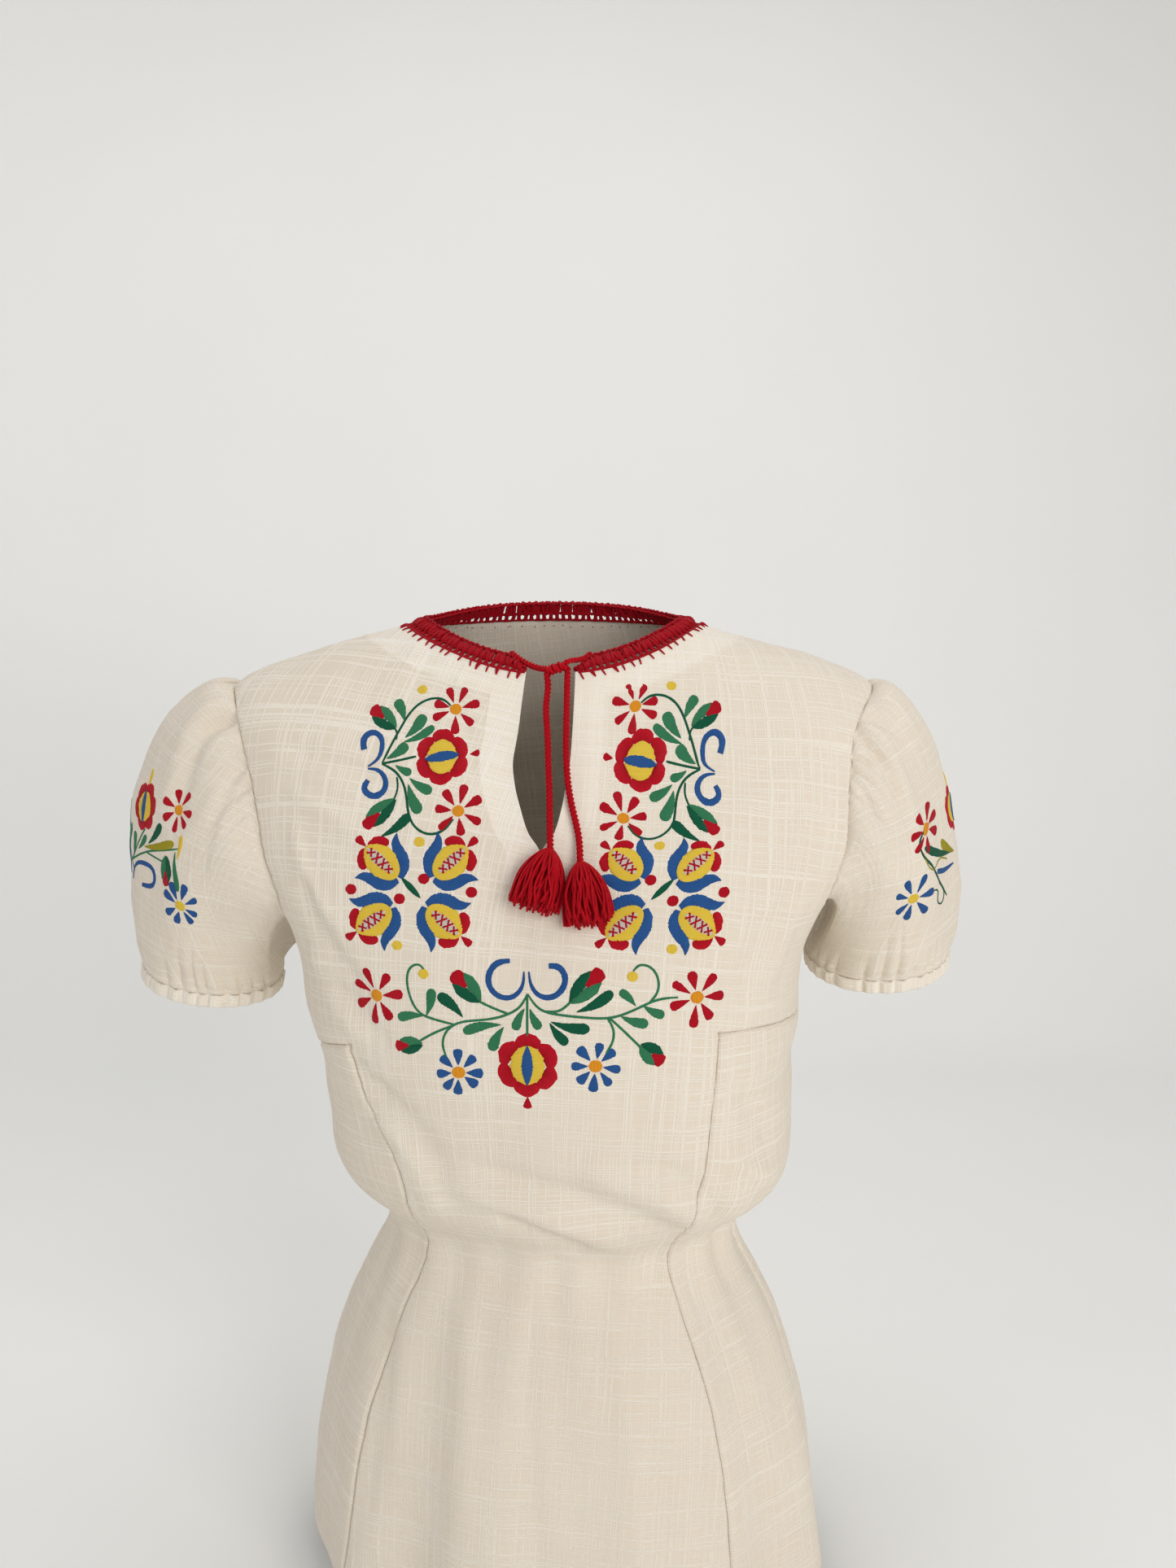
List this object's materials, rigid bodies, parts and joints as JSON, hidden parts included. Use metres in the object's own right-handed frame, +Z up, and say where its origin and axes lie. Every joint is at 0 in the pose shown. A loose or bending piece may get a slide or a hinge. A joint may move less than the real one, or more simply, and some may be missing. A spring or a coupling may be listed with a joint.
{
  "type": "embroidered folk blouse",
  "caption": "Short-sleeved folk blouse with a wide neck, front slit, tasselled tie, gathered sleeves, drawn-in waist and floral embroidery.",
  "frame": {"origin": "middle of the neck opening, level with the sides of the neckline, where the wearer's neck and shoulders hold the blouse", "axes": "+Z up along the body, -Y out of the front, +X to the viewer's right"},
  "size_m": [0.543, 0.2637, 0.6029],
  "materials": {
    "slubbed_cloth": "matte slubbed cotton",
    "doubled_cloth": "matte slubbed cotton, two layers",
    "red_thread": "mercerised cotton thread"
  },
  "bodies": {
    "root": {"front": "slubbed_cloth", "side_panel_left": "slubbed_cloth", "side_panel_right": "slubbed_cloth", "back": "slubbed_cloth", "sleeve_left": "slubbed_cloth", "sleeve_right": "slubbed_cloth", "sleeve_band_left": "doubled_cloth", "sleeve_band_right": "doubled_cloth", "front_facing": "doubled_cloth", "neck_band": "red_thread", "tie_span_left": "red_thread", "tie_span_right": "red_thread", "tie_end_left": "red_thread", "tie_end_right": "red_thread", "tie_knot": "red_thread", "tassel_left": "red_thread", "tassel_right": "red_thread"}
  },
  "joints": []
}
